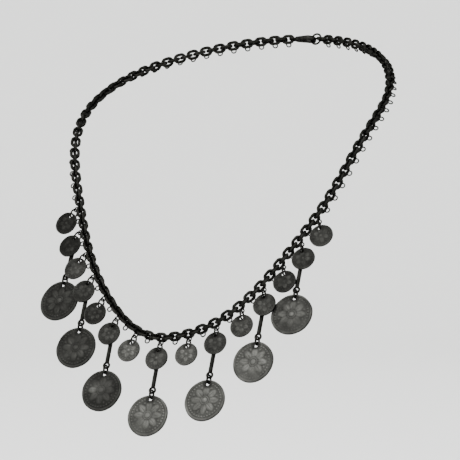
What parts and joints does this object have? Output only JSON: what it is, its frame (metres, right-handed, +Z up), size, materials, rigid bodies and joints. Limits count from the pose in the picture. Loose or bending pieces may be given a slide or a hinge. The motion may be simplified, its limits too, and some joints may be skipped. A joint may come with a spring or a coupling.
{
  "type": "coin necklace",
  "caption": "Blackened metal necklace held open as worn: a link chain with a row of small coins in front and larger coins hung below them on slim bars.",
  "frame": {"origin": "on the chain's axis at the nape, the middle of the back of the neck, where the worn necklace sits", "axes": "+Z up, -Y to the wearer's front, +X to the wearer's left"},
  "size_m": [0.1374, 0.1387, 0.1622],
  "materials": {
    "chain": "blackened, satin",
    "ring": "blackened, satin",
    "bar": "blackened, satin",
    "small_coin": "dark antique silver plate, satin",
    "large_coin": "dark antique silver plate, satin"
  },
  "bodies": {
    "root": {"chain_left": "chain", "chain_right": "chain", "end_ring": "chain", "clasp": "chain", "coin_ring_01": "ring", "coin_ring_02": "ring", "coin_ring_03": "ring", "coin_ring_04": "ring", "coin_ring_05": "ring", "coin_ring_06": "ring", "coin_ring_07": "ring", "coin_ring_08": "ring", "coin_ring_09": "ring", "coin_ring_10": "ring", "coin_ring_11": "ring", "coin_ring_12": "ring", "coin_ring_13": "ring", "coin_ring_14": "ring", "coin_ring_15": "ring", "drop_ring_1": "ring", "drop_ring_2": "ring", "drop_ring_3": "ring", "drop_ring_4": "ring", "drop_ring_5": "ring", "drop_ring_6": "ring", "drop_ring_7": "ring", "drop_bar_1": "bar", "drop_bar_2": "bar", "drop_bar_3": "bar", "drop_bar_4": "bar", "drop_bar_5": "bar", "drop_bar_6": "bar", "drop_bar_7": "bar", "small_coin_01": "small_coin", "small_coin_02": "small_coin", "small_coin_03": "small_coin", "small_coin_04": "small_coin", "small_coin_05": "small_coin", "small_coin_06": "small_coin", "small_coin_07": "small_coin", "small_coin_08": "small_coin", "small_coin_09": "small_coin", "small_coin_10": "small_coin", "small_coin_11": "small_coin", "small_coin_12": "small_coin", "small_coin_13": "small_coin", "small_coin_14": "small_coin", "small_coin_15": "small_coin", "large_coin_1": "large_coin", "large_coin_2": "large_coin", "large_coin_3": "large_coin", "large_coin_4": "large_coin", "large_coin_5": "large_coin", "large_coin_6": "large_coin", "large_coin_7": "large_coin"}
  },
  "joints": []
}
